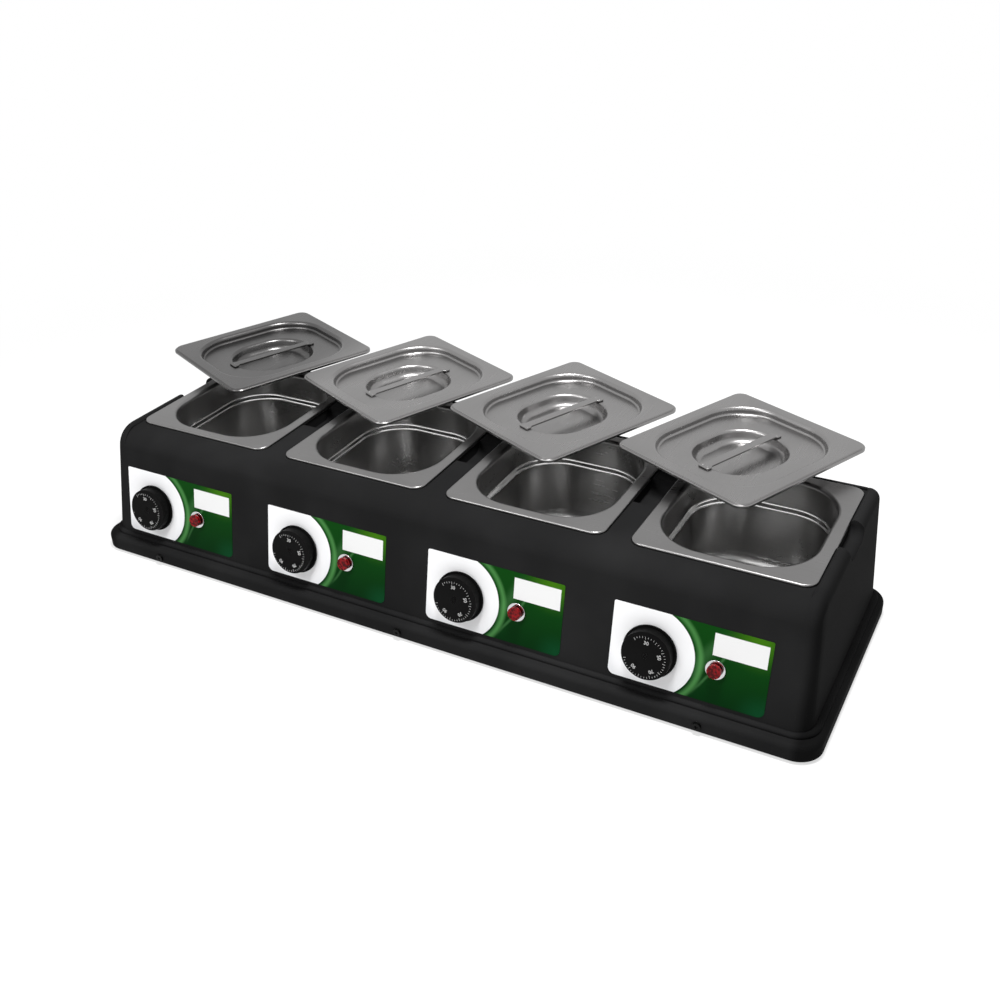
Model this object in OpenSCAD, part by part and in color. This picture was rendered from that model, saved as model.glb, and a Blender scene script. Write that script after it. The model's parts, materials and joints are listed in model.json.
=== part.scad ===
// Chocolate warmer with four dry-heated stations in a row.
// A moulded black housing carries four small stainless pans, each with its own heated well,
// thermostat knob, pilot lamp and control panel. The lids lie askew on the rear rims, set aside.
// X runs along the row, Y to the back, Z up. The origin is on the table under the centre foot.

/* [Stations] */
// Distance between the centres of neighbouring stations
station_pitch = 185.8; // [184:0.2:200]
// Height of the pan rims above the table
rim_height = 133; // [131:1:150]

/* [Pans] */
// Width of a pan rim along the row
pan_w = 162; // [158:1:164]
// Depth of a pan rim from front to back
pan_l = 176; // [172:1:180]
// Depth of a pan below its rim
pan_depth = 100; // [80:1:104]
// Thickness of the pan and lid sheet
sheet_t = 0.8; // [0.6:0.1:1]
// Flat rim width outside the basin wall
rim_flat = 12; // [11:0.5:14]
// Corner radius of the basin
basin_corner = 48; // [36:1:54]
// Corner radius of the rims and lids
rim_corner = 12; // [8:1:16]
// Height of the turned-down rim edge
rim_edge = 3.7; // [3:0.1:4.5]
// Depth of the stacking shoulder below the rim
shoulder_depth = 30; // [24:1:36]
// How far the stacking shoulder steps inward
shoulder_step = 3.5; // [2:0.5:5]
// Radius between a pan's wall and its floor
pan_floor_radius = 16; // [10:1:20]
// Draft angle of the basin wall below the shoulder
pan_draft = 3; // [1:0.5:5]

/* [Lids] */
// Height of a lid flange's top above the pan rims
lid_height = 21; // [20:0.5:24]
// Depth of a lid's wide tray
lid_tray_depth = 8; // [6:0.5:10]
// Half width of a lid's handle cup along the row
cup_half_w = 41; // [36:1:44]
// Half length of a lid's handle cup
cup_half_l = 45.5; // [42:0.5:50]
// Corner radius of the handle cup
cup_corner = 36; // [28:1:40]
// Draft angle of the handle cup's wall
cup_draft = 16; // [8:1:20]
// Width of the handle bar
bar_w = 9; // [7:0.5:12]
// Thickness of the handle bar
bar_t = 2; // [1.5:0.5:2.5]
// Turn of the lids seen from above
lid_turn = -24; // [-26:1:-22]
// Sideways shift of a lid from its pan's centre
lid_shift = -42; // [-42.5:0.5:-40]
// Sideways shift of the last lid from its pan's centre
last_lid_shift = -38.5; // [-42:0.5:-36]
// Backward shift of the lids from the pans' centre line
lid_back = 89.5; // [86:0.5:92]
// Backward shift of the last lid
last_lid_back = 86; // [84:0.5:92]

/* [Housing] */
// Wall thickness of the moulded housing
wall_t = 3; // [2.5:0.5:4]
// Tilt of the front face from the vertical
front_tilt = 11.25; // [9:0.25:14]
// Land from the pan rims to the front face at rim height
front_land = 24.9; // [23:0.1:28]
// Land from the pan rims to the side walls at rim height
side_land = 11.5; // [11:0.5:16]
// Land from the pan rims to the rear wall at rim height
rear_land = 10; // [9:0.5:16]
// How far the side walls lean out at the bottom
side_flare = 10; // [6:0.5:14]
// How far the rear wall leans out at the bottom
rear_flare = 2; // [1:0.5:4]
// Radius between the front face and the deck
front_fillet = 25; // [22:1:28]
// Radius between the sides and the top
side_fillet = 10; // [8:1:11]
// Radius of the upright corners at the bottom
upright_corner = 18; // [14:1:24]
// How far the deck lies below the pan rims
deck_drop = 2.5; // [2:0.1:3]
// Height of the side lips above the pan rims
lip_rise = 0.2; // [0:0.1:1]
// Height of the skirt band
skirt_h = 15; // [12:1:16]
// How far the skirt stands proud of the walls
skirt_proud = 9; // [7:0.5:12]
// Radius of the skirt's top edge
skirt_edge = 5; // [3:0.5:6]
// Height of the step above the skirt
step_h = 4; // [3:0.5:5]
// How far the step stands proud of the walls
step_proud = 4; // [3:0.5:6]

/* [Finger scoops] */
// Length of a finger scoop from front to back
scoop_l = 48; // [40:1:56]
// Depth of a finger scoop below the deck
scoop_depth = 13; // [10:1:16]
// Corner radius at the bottom of a scoop
scoop_corner = 10; // [6:1:10]
// How far the scoops lie behind the pans' centre line
scoop_back = 4; // [0:1:8]

/* [Controls] */
// Width of a control panel
panel_w = 139.2; // [134:0.2:144]
// Height of a control panel
panel_h = 70; // [66:1:72]
// Thickness of a control panel
panel_t = 0.4; // [0.3:0.1:0.8]
// Distance down the front face from rim height to the panel's top edge
panel_drop = 39.4; // [38:0.2:42]
// Shift of the panel's centre from the station's centre
panel_shift = -7.7; // [-10:0.1:-4]
// Shift of the knob from the station's centre
knob_shift = -40.7; // [-44:0.1:-38]
// Shift of the lamp from the station's centre
lamp_shift = 17.1; // [12:0.1:24]
// Distance of the knob and lamp centres below the panel's top edge
control_drop = 37.8; // [34:0.2:40]
// Diameter of a knob
knob_d = 48.6; // [44:0.2:52]
// Height of a knob
knob_h = 14.5; // [12:0.5:18]
// Diameter of a lamp bezel
bezel_d = 17.5; // [15:0.5:20]
// Height of a lamp bezel in front of the panel
bezel_h = 8.5; // [6:0.5:10]
// Diameter of the thermostat shaft
shaft_d = 6; // [5:0.5:6.5]

/* [Heating] */
// Gap between a pan and its heated well
well_gap = 1.2; // [1:0.1:2]
// Wall thickness of a heated well
well_t = 1.5; // [1.2:0.1:2]
// Thickness of a heating mat
heater_t = 1.8; // [1.2:0.1:2.4]
// Length of a temperature sensor
sensor_l = 50; // [40:1:60]
// Diameter of a temperature sensor
sensor_d = 6; // [5:0.5:7]

/* [Base] */
// Thickness of the base plate
plate_t = 1.2; // [1:0.1:2]
// Height of the base plate's turned-up edge
plate_edge = 10; // [8:1:11]
// Height of the skirt's bottom above the table
foot_lift = 3; // [2:0.5:5]
// Diameter of a rubber foot
foot_d = 24; // [18:1:30]
// Distance between the outer feet along the row
foot_span = 660; // [600:5:680]
// Distance between the front and rear feet
foot_track = 180; // [150:5:200]
// Distance between neighbouring skirt screws
skirt_screw_pitch = 298; // [280:1:310]
// Shift of the skirt screws along the row
skirt_screw_shift = -9; // [-12:1:12]
// Height of the skirt screws above the skirt's bottom
skirt_screw_rise = 6; // [5.5:0.5:7]

/* [Hidden] */
$fn = 64;
hull_fn = 32;
stations = [1, 2, 3, 4];
station_count = len(stations);
// Small gap between pieces that rest on each other
seat_gap = 0.3;
// Side play of pieces that drop into place
play = 0.4;
// Radial clearance of a turning shaft
running_gap = 0.05;
// Gap left where one flat sloping face is fixed against another
fit_gap = 0.05;
// Extra length of a cut past the face that it opens
past = 1;

// Plan positions
function station_x(i) = (i - (station_count + 1) / 2) * station_pitch;
skirt_z = foot_lift;
rim_x_end = station_x(station_count) + pan_w / 2;
front_lean = (rim_height - skirt_z) * tan(front_tilt);
reach_front = pan_l / 2 + front_land + front_lean + skirt_proud;
reach_back = pan_l / 2 + rear_land + rear_flare + skirt_proud;
pan_y = (reach_front - reach_back) / 2;
front_y = pan_y - pan_l / 2 - front_land;
rear_y = pan_y + pan_l / 2 + rear_land;
side_x = rim_x_end + side_land;
skirt_half_w = side_x + side_flare + skirt_proud;
skirt_half_l = (reach_front + reach_back) / 2;
skirt_corner = upright_corner + skirt_proud / 2;

// Levels
deck_z = rim_height - deck_drop;
lip_z = rim_height + lip_rise;
ledge_z = rim_height - seat_gap;
pocket_z = rim_height - rim_edge - seat_gap;
step_top = skirt_z + skirt_h + step_h;

// Panels stand at panel_drop, or higher where a low front leaves them no room over the skirt
panel_clear = 3;
panel_top = min(panel_drop, (rim_height - step_top) / cos(front_tilt) - panel_h - panel_clear);

// Basin measures: the roll leads from the flat rim into the upright wall
roll_in = 4 * sheet_t;
basin_half_w = pan_w / 2 - rim_flat;
basin_half_l = pan_l / 2 - rim_flat;
shoulder_h = 4;

// Bevel along the inner edge of the side lips
lip_bevel = 2;

// Deck fillet, a little larger than the housing's own so that the two surfaces cross cleanly
fillet_bite = 0.4;
deck_fillet = front_fillet - 1;
deck_fillet_z = deck_z - deck_fillet;
deck_fillet_y = front_face_y(deck_fillet_z) + (deck_fillet - fillet_bite) / cos(front_tilt);
deck_under_z = deck_z - wall_t - fillet_bite;
boss_h = 6;
boss_d = 9;
boss_x = 50;
boss_y = pan_l / 2 - 4;
well_top_z = deck_under_z - boss_h;
well_flange_l = boss_y + boss_d / 2 + 0.5;

// Number of flat bands in the curve at the foot of a heated well
well_bends = 6;

// Lid measures
lid_wall_gap = 1.7;
lid_half_w = basin_half_w - sheet_t - lid_wall_gap;
lid_half_l = basin_half_l - sheet_t - lid_wall_gap;
lid_corner = basin_corner - sheet_t - lid_wall_gap;
lid_edge = 4;
lid_bead = 2.4;
lid_foot_radius = 3.2;
cup_foot_radius = 8;
cup_depth = lid_height - lid_tray_depth - seat_gap;
bar_tab_l = 8;
bar_tab_w = bar_w + 4;
bar_half_l = cup_half_l + roll_in + 3;

// Controls, with heights measured out of the front face
panel_face = fit_gap + panel_t;
wall_back = -wall_t - fit_gap;
knob_lift = 1.2;
knob_wall = 2.2;
hub_d = 12;
knob_face_t = 3;
neck_d = 8.8;
shaft_hole_d = neck_d + 1.2;
thermo_w = 36;
thermo_h = 40;
thermo_d = 28;
thermo_plate_t = 1.2;
thermo_screw_x = 14;
screw_d = 3.8;
screw_clear = 0.4;
lamp_shank_d = 12;
lamp_shank_l = 20;
lens_d = bezel_d - 4.5;
lens_seat = 3;
lamp_nut_t = 4;
capillary_d = 2;
capillary_bend = 8;

// Base
plate_z = skirt_z + 2;
plate_top = plate_z + plate_t;
foot_neck_d = 8;
skirt_screw_d = 3.4;
skirt_head_d = 7.5;
skirt_head_t = 2.2;
gland_x = 250;
gland_z = 34;
gland_boss_r = 15;
gland_boss_y = rear_y + rear_flare + 1.5;
gland_shank_r = 8;
gland_bore_r = 4;
gland_seat = wall_t + 2.5;
gland_hex_r = 12.5;
gland_nut_t = 5;
block_w = 40;
block_l = 18;
block_h = 16;

black = [0.1, 0.1, 0.105];
steel = [0.68, 0.67, 0.66];
chrome = [0.85, 0.85, 0.86];
aluminium = [0.75, 0.76, 0.78];
green = [0.05, 0.36, 0.1];
red = [0.7, 0.05, 0.07];

function each_station(name) = [for (i = stations) str(name, "_", i)];

// Y of the front face at height z
function front_face_y(z) = front_y - (rim_height - z) * tan(front_tilt);

// A point of the front face: x along the row, drop down the slope from rim height.
// Local X stays along the row, local Y points up the slope and local Z out of the face.
module on_front(x, drop) {
    translate([x, front_y, rim_height])
        rotate([90 - front_tilt, 0, 0])
            translate([0, -drop, 0])
                children();
}

module at_station(i, z = 0) {
    translate([station_x(i), pan_y, z])
        children();
}

// Flat rounded rectangle of half sizes a and b
module rounded_plate(a, b, r) {
    square([2 * a, 2 * (b - r)], center = true);
    square([2 * (a - r), 2 * b], center = true);
    for (sx = [-1, 1], sy = [-1, 1])
        translate([sx * (a - r), sy * (b - r)])
            circle(r);
}

// Sweeps a profile round a rounded rectangle of half sizes a and b and corner radius r.
// The profile's X is the distance from the corner's centre, its Y is the height.
module sweep_round(a, b, r) {
    for (k = [0:3]) {
        u = k % 2 == 0 ? a - r : b - r;
        v = k % 2 == 0 ? b - r : a - r;
        rotate([0, 0, 90 * k])
            translate([u, v, 0]) {
                rotate([90, 0, 0])
                    linear_extrude(2 * v)
                        children();
                rotate_extrude(angle = 90)
                    children();
            }
    }
}

// Part of a ring between the radii r1 and r2 and the angles a1 and a2
module ring_sector(centre, r1, r2, a1, a2) {
    mid = (a1 + a2) / 2;
    far = 3 * r2;
    translate(centre)
        intersection() {
            difference() {
                circle(r2);
                circle(r1);
            }
            polygon([[0, 0], far * [cos(a1), sin(a1)], far * [cos(mid), sin(mid)], far * [cos(a2), sin(a2)]]);
        }
}

// Section of a pressed dish, from the end of its flat flange to the start of its flat floor.
// The outer wall surface would meet the flange's top at r; the underside lies at -depth.
module dish_fill(r, depth, draft, foot, inset, top) {
    bend = [dish_top_r(r, draft), -sheet_t - roll_in];
    low = [dish_floor_r(r, depth, draft, foot), foot - depth];
    n = [cos(draft), -sin(draft)];
    difference() {
        polygon([
            [low[0], top], [bend[0], top], bend, bend - (roll_in + inset) * n,
            low + (foot - inset) * n, low
        ]);
        translate(bend)
            circle(roll_in + inset);
    }
    translate(low)
        intersection() {
            circle(foot - inset);
            translate([0, -foot])
                square([foot, foot]);
        }
}

module dish_section(r, depth, draft, foot) {
    difference() {
        dish_fill(r, depth, draft, foot, 0, 0);
        dish_fill(r, depth, draft, foot, sheet_t, past);
    }
}

// Where the flange's flat part ends and where the floor's flat part starts, from the corner's centre
function dish_top_r(r, draft) = r + (roll_in - (sheet_t + roll_in) * sin(draft)) / cos(draft);
function dish_floor_r(r, depth, draft, foot) = r - (foot + (depth - foot) * sin(draft)) / cos(draft);

// Reach of the basin's outer wall from the corner's centre, at height z below the rim, grown by g
pan_floor_r = basin_corner - shoulder_step
    - (pan_floor_radius + (pan_depth - pan_floor_radius - shoulder_depth - shoulder_h) * sin(pan_draft))
    / cos(pan_draft);
function basin_reach(z, g) = pan_floor_r + (pan_floor_radius + g) * cos(pan_draft)
    + (z + pan_depth - pan_floor_radius + (pan_floor_radius + g) * sin(pan_draft)) * tan(pan_draft);

// Half section of the basin, grown outward by g, filled and cut off at height top
module basin_section(g, top) {
    upper = basin_corner + g;
    shoulder_low = -shoulder_depth - shoulder_h;
    foot = pan_floor_radius + g;
    centre = [pan_floor_r, pan_floor_radius - pan_depth];
    polygon([
        [0, top], [upper, top], [upper, -shoulder_depth],
        [basin_reach(shoulder_low, g), shoulder_low],
        centre + foot * [cos(pan_draft), -sin(pan_draft)],
        centre, [centre[0], -pan_depth - g], [0, -pan_depth - g]
    ]);
    translate(centre)
        intersection() {
            circle(foot);
            translate([0, -foot])
                square([foot, foot]);
        }
}

module basin_shell_section(outer, inner, top) {
    difference() {
        basin_section(outer, top);
        basin_section(inner, top + past);
    }
}

// Middle of a basin's floor, between the four swept walls
module basin_floor(outer, inner) {
    translate([0, 0, -pan_depth - outer])
        linear_extrude(outer - inner)
            square([2 * (basin_half_w - basin_corner), 2 * (basin_half_l - basin_corner)], center = true);
}

module pan_body() {
    edge_r = 2 * sheet_t;
    flat_r = basin_corner + roll_in;
    sweep_round(basin_half_w, basin_half_l, basin_corner) {
        union() {
            basin_shell_section(0, -sheet_t, -sheet_t - roll_in);
            ring_sector([flat_r, -sheet_t - roll_in], roll_in, roll_in + sheet_t, 90, 180);
        }
    }
    basin_floor(0, -sheet_t);
    translate([0, 0, -sheet_t])
        linear_extrude(sheet_t)
            difference() {
                rounded_plate(pan_w / 2 - edge_r, pan_l / 2 - edge_r, rim_corner - edge_r);
                rounded_plate(basin_half_w + roll_in, basin_half_l + roll_in, flat_r);
            }
    sweep_round(pan_w / 2, pan_l / 2, rim_corner) {
        union() {
            ring_sector([rim_corner - edge_r, -edge_r], edge_r - sheet_t, edge_r, 0, 90);
            translate([rim_corner - sheet_t, -rim_edge])
                square([sheet_t, rim_edge - edge_r]);
        }
    }
}

module pan(i) {
    color(steel)
        at_station(i, rim_height)
            pan_body();
}

// Edge of a lid: the flange steps down and turns down, seen from the corner's centre
module lid_edge_section() {
    r = rim_corner;
    step = 1.2;
    polygon([
        [r - lid_bead, 0], [r - lid_bead + 0.6, -step], [r - 0.7, -step], [r, -step - 0.7],
        [r, -lid_edge], [r - sheet_t, -lid_edge], [r - sheet_t, -step - sheet_t],
        [r - lid_bead, -step - sheet_t], [r - lid_bead - 0.6, -sheet_t], [r - lid_bead - 0.6, 0]
    ]);
}

module lid_body() {
    tray_depth = lid_tray_depth + sheet_t;
    tray_floor_r = dish_floor_r(lid_corner, tray_depth, 0, lid_foot_radius);
    tray_in = lid_corner - tray_floor_r;
    cup_top_r = dish_top_r(cup_corner, cup_draft);
    cup_out = cup_top_r - cup_corner;
    cup_floor_r = dish_floor_r(cup_corner, cup_depth, cup_draft, cup_foot_radius);
    cup_in = cup_corner - cup_floor_r;
    flat_in = lid_bead + 0.6;
    sweep_round(pan_w / 2, pan_l / 2, rim_corner)
        lid_edge_section();
    translate([0, 0, -sheet_t])
        linear_extrude(sheet_t)
            difference() {
                rounded_plate(pan_w / 2 - flat_in, pan_l / 2 - flat_in, rim_corner - flat_in);
                rounded_plate(lid_half_w + roll_in, lid_half_l + roll_in, lid_corner + roll_in);
            }
    sweep_round(lid_half_w, lid_half_l, lid_corner)
        dish_section(lid_corner, tray_depth, 0, lid_foot_radius);
    translate([0, 0, -tray_depth])
        linear_extrude(sheet_t)
            difference() {
                rounded_plate(lid_half_w - tray_in, lid_half_l - tray_in, tray_floor_r);
                rounded_plate(cup_half_w + cup_out, cup_half_l + cup_out, cup_top_r);
            }
    translate([0, 0, -lid_tray_depth]) {
        sweep_round(cup_half_w, cup_half_l, cup_corner)
            dish_section(cup_corner, cup_depth, cup_draft, cup_foot_radius);
        translate([0, 0, -cup_depth])
            linear_extrude(sheet_t)
                rounded_plate(cup_half_w - cup_in, cup_half_l - cup_in, cup_floor_r);
    }
}

module lid_place(i) {
    last = i == station_count;
    translate([
        station_x(i) + (last ? last_lid_shift : lid_shift),
        pan_y + (last ? last_lid_back : lid_back),
        rim_height + lid_height
    ])
        rotate([0, 0, lid_turn])
            children();
}

module lid(i) {
    color(steel)
        lid_place(i)
            lid_body();
}

// Flat bar across the cup, with a wider welded tab at each end
module lid_handle(i) {
    color(steel)
        lid_place(i)
            translate([0, 0, -lid_tray_depth])
                linear_extrude(bar_t) {
                    square([bar_w, 2 * bar_half_l], center = true);
                    for (s = [-1, 1])
                        translate([0, s * (bar_half_l - bar_tab_l / 2)])
                            rounded_plate(bar_tab_w / 2, bar_tab_l / 2, 1.5);
                }
}

// Skin of the housing as one smooth shape. The front top edge is a wide roll with narrow ends.
module housing_skin(inset, roll_r, roll_y, roll_z, low_z) {
    edge = side_fillet - inset;
    corner = upright_corner - inset;
    lean = atan(side_flare / (rim_height - skirt_z));
    top_x = side_x - inset - (edge + (roll_z - rim_height) * sin(lean)) / cos(lean);
    rear_roll_z = roll_z + roll_r - edge;
    rear_top_x = side_x - inset - (edge + (rear_roll_z - rim_height) * sin(lean)) / cos(lean);
    low_x = side_x + side_flare - inset - corner;
    slab = 0.1;
    low_front_y = front_face_y(low_z + slab) + inset / cos(front_tilt) + corner;
    low_rear_y = rear_y + rear_flare - inset - corner;
    hull()
        for (s = [-1, 1]) {
            translate([s * top_x, roll_y, roll_z])
                rotate([-front_tilt, 0, 0])
                    rotate([0, 90, 0])
                        rotate_extrude($fn = hull_fn)
                            translate([roll_r - edge, 0])
                                circle(edge, $fn = 24);
            translate([s * rear_top_x, rear_y - inset - edge, rear_roll_z])
                sphere(edge, $fn = hull_fn);
            translate([s * low_x, low_front_y, low_z])
                cylinder(h = slab, r = corner, $fn = hull_fn);
            translate([s * low_x, low_rear_y, low_z])
                cylinder(h = slab, r = corner, $fn = hull_fn);
        }
}

module outer_skin() {
    roll_z = lip_z - front_fillet;
    roll_y = front_face_y(roll_z) + front_fillet / cos(front_tilt);
    housing_skin(0, front_fillet, roll_y, roll_z, skirt_z);
}

module inner_skin() {
    roll_r = deck_fillet - fillet_bite - wall_t;
    housing_skin(wall_t, roll_r, deck_fillet_y, deck_fillet_z, skirt_z - 2 * past);
}

// Solid slab with rounded corners and a rounded top edge, standing on z = 0
module rounded_slab(a, b, r, h, edge) {
    sweep_round(a, b, r)
        union() {
            square([r - edge, h]);
            square([r, h - edge]);
            translate([r - edge, h - edge])
                circle(edge);
        }
    translate([0, 0, h / 2])
        cube([2 * (a - r), 2 * (b - r), h], center = true);
}

module skirt() {
    step_front = front_face_y(step_top) - step_proud;
    step_rear = rear_y + rear_flare + step_proud;
    translate([0, 0, skirt_z])
        rounded_slab(skirt_half_w, skirt_half_l, skirt_corner, skirt_h, skirt_edge);
    translate([0, (step_front + step_rear) / 2, skirt_z])
        rounded_slab(
            side_x + side_flare + step_proud, (step_rear - step_front) / 2,
            upright_corner + step_proud, skirt_h + step_h, step_h - 1
        );
}

// Section of a finger scoop across the row, grown by g, up to height top above the deck
module scoop_section(g, top) {
    half = scoop_l / 2 + g;
    low = -scoop_depth - g;
    r = scoop_corner + g;
    translate([-half, low + r])
        square([2 * half, top - low - r]);
    translate([-half, low])
        intersection() {
            translate([r, 0])
                square([2 * (half - r), r + past]);
            square([2 * half, top - low]);
        }
    for (s = [-1, 1])
        translate([s * (half - r), low + r])
            intersection() {
                circle(r);
                translate([-r, -r])
                    square([2 * r, r]);
            }
}

// Runs a scoop section along the row from x = from to x = to
module scoop_bar(from, to, g) {
    translate([from, pan_y + scoop_back, deck_z])
        rotate([90, 0, 90])
            linear_extrude(to - from)
                scoop_section(g, g > 0 ? -1 : 2 * lip_rise + 4 * past);
}

scoop_under_rim = 1;
scoop_half = (station_pitch - pan_w) / 2 + scoop_under_rim;

// All finger scoops: one between each pair of pans and one at each end, open to the side
module scoops(g, end_x) {
    for (i = [1:station_count - 1]) {
        x = (station_x(i) + station_x(i + 1)) / 2;
        scoop_bar(x - scoop_half - g, x + scoop_half + g, g);
    }
    for (s = [-1, 1])
        mirror([s < 0 ? 1 : 0, 0, 0])
            scoop_bar(rim_x_end - scoop_under_rim - g, end_x, g);
}

// What is cut away above the deck, between the side lips
module deck_cut() {
    half = rim_x_end + play;
    rear = pan_y + pan_l / 2 + play + 0.2;
    low = deck_fillet_z + deck_fillet * sin(front_tilt);
    high = lip_z + 5;
    front = front_face_y(0);
    translate([-half, 0, 0])
        rotate([90, 0, 90])
            linear_extrude(2 * half)
                difference() {
                    translate([front, low])
                        square([rear - front, high - low]);
                    translate([deck_fillet_y, low - past])
                        square([rear - front, deck_z - low + past]);
                    translate([deck_fillet_y, deck_fillet_z])
                        circle(deck_fillet);
                }
    translate([-half, rear - past, ledge_z])
        cube([2 * half, rear_land + 2 * past, 2 * high]);
    for (s = [-1, 1])
        mirror([s < 0 ? 1 : 0, 0, 0])
            translate([half - past, rear + rear_land, lip_z + past])
                rotate([90, 0, 0])
                    linear_extrude(rear + rear_land - front)
                        polygon([[0, 0], [0, -lip_bevel - 2 * past], [lip_bevel + 2 * past, 0]]);
}

// Seat of a pan in the deck and the hole that its basin passes through
module pan_seat(i) {
    hole = 2.3 + roll_in;
    at_station(i, pocket_z)
        linear_extrude(deck_drop + rim_edge)
            rounded_plate(pan_w / 2 + play, pan_l / 2 + play, rim_corner + play);
    at_station(i, deck_under_z - past)
        linear_extrude(wall_t + 4 * past)
            rounded_plate(basin_half_w + hole, basin_half_l + hole, basin_corner + hole);
}

module boss_positions(i) {
    for (sx = [-1, 1], sy = [-1, 1])
        translate([station_x(i) + sx * boss_x, pan_y + sy * boss_y, 0])
            children();
}

module skirt_screw_positions() {
    for (k = [-1:1], s = [0, 1])
        rotate([0, 0, 180 * s])
            translate([k * skirt_screw_pitch + (s == 0 ? 1 : -1) * skirt_screw_shift, -skirt_half_l, skirt_z + skirt_screw_rise])
                rotate([90, 0, 0])
                    children();
}

module gland_place() {
    translate([gland_x, gland_boss_y, gland_z])
        rotate([-90, 0, 0])
            children();
}

module housing() {
    inner_corner = skirt_corner - wall_t;
    color(black)
        difference() {
            union() {
                difference() {
                    union() {
                        outer_skin();
                        skirt();
                        gland_place()
                            translate([0, 0, -gland_seat])
                                cylinder(h = gland_seat, r = gland_boss_r);
                    }
                    inner_skin();
                    translate([0, 0, skirt_z - past])
                        linear_extrude(skirt_h - wall_t + past)
                            rounded_plate(skirt_half_w - wall_t, skirt_half_l - wall_t, inner_corner);
                }
                scoops(wall_t - 0.5, side_x - 1);
                for (i = stations)
                    boss_positions(i)
                        translate([0, 0, well_top_z])
                            cylinder(h = boss_h + 1, d = boss_d);
                gland_place()
                    translate([0, 0, -gland_seat])
                        cylinder(h = wall_t, r = gland_boss_r);
            }
            deck_cut();
            scoops(0, side_x + 2 * side_flare);
            for (i = stations) {
                pan_seat(i);
                boss_positions(i)
                    translate([0, 0, well_top_z - past])
                        cylinder(h = boss_h, d = screw_d - 2 * screw_clear);
                on_front(station_x(i) + knob_shift, panel_top + control_drop) {
                    translate([0, 0, -2 * wall_t])
                        cylinder(h = 3 * wall_t, d = shaft_hole_d);
                    for (s = [-1, 1])
                        translate([s * thermo_screw_x, 0, -2 * wall_t])
                            cylinder(h = 3 * wall_t, d = screw_d + screw_clear);
                }
                on_front(station_x(i) + lamp_shift, panel_top + control_drop)
                    translate([0, 0, -2 * wall_t])
                        cylinder(h = 3 * wall_t, d = lamp_shank_d + screw_clear);
            }
            skirt_screw_positions()
                translate([0, 0, -2 * wall_t])
                    cylinder(h = 3 * wall_t, d = skirt_screw_d + screw_clear);
            gland_place()
                translate([0, 0, -4 * wall_t])
                    cylinder(h = 5 * wall_t, r = gland_shank_r + screw_clear / 2);
        }
}

module foot_positions() {
    children();
    for (sx = [-1, 1], sy = [-1, 1])
        translate([sx * foot_span / 2, sy * foot_track / 2, 0])
            children();
}

// Pressed steel tray that closes the bottom, with a turned-up edge and air slots under each well
module base_plate() {
    half_w = skirt_half_w - wall_t - play;
    half_l = skirt_half_l - wall_t - play;
    corner = skirt_corner - wall_t - play;
    slot_l = 60;
    slot_w = 4;
    slot_pitch = 12;
    color([0.2, 0.2, 0.21])
        difference() {
            translate([0, 0, plate_z]) {
                sweep_round(half_w, half_l, corner)
                    union() {
                        square([corner, plate_t]);
                        translate([corner - plate_t, 0])
                            square([plate_t, plate_edge]);
                    }
                linear_extrude(plate_t)
                    square([2 * (half_w - corner), 2 * (half_l - corner)], center = true);
            }
            foot_positions()
                translate([0, 0, plate_z - past])
                    cylinder(h = plate_t + 2 * past, d = foot_neck_d + play / 2);
            skirt_screw_positions()
                translate([0, 0, -4 * wall_t])
                    cylinder(h = 5 * wall_t, d = skirt_screw_d + 2 * running_gap);
            for (i = stations, k = [-2:2])
                translate([station_x(i), pan_y + slot_pitch * k, plate_z - past])
                    linear_extrude(plate_t + 2 * past)
                        rounded_plate(slot_l / 2, slot_w / 2, slot_w / 2 - 0.01);
        }
}

// Rubber feet, each pushed through a hole of the base plate
module rubber_feet() {
    head = 2.5;
    edge = 1.5;
    color([0.07, 0.07, 0.07])
        foot_positions()
            rotate_extrude() {
                translate([0, edge])
                    square([foot_d / 2, plate_z - edge]);
                square([foot_d / 2 - edge, edge + 0.5]);
                intersection() {
                    translate([foot_d / 2 - edge, edge])
                        circle(edge);
                    square([foot_d / 2, edge]);
                }
                square([foot_neck_d / 2, plate_top + head]);
                translate([0, plate_top])
                    square([foot_neck_d / 2 + 1.5, head]);
            }
}

module skirt_screws() {
    shank_l = 9;
    color([0.12, 0.12, 0.12])
        skirt_screw_positions() {
            difference() {
                cylinder(h = skirt_head_t, d = skirt_head_d);
                translate([0, 0, skirt_head_t - 1])
                    for (a = [0, 90])
                        rotate([0, 0, a])
                            translate([-skirt_head_d / 4, -0.5, 0])
                                cube([skirt_head_d / 2, 1, 2]);
            }
            translate([0, 0, -shank_l])
                cylinder(h = shank_l + skirt_head_t / 3, d = skirt_screw_d);
        }
}

// Outline of a basin grown by g, from height top down to the start of its floor
function basin_outline(g, top) = concat(
    [
        [basin_corner + g, top], [basin_corner + g, -shoulder_depth],
        [basin_reach(-shoulder_depth - shoulder_h, g), -shoulder_depth - shoulder_h]
    ],
    [for (a = [0:well_bends]) let(t = -pan_draft - a * (90 - pan_draft) / well_bends)
        [pan_floor_r, pan_floor_radius - pan_depth] + (pan_floor_radius + g) * [cos(t), sin(t)]],
    [[0, -pan_depth - g]]
);

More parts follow.
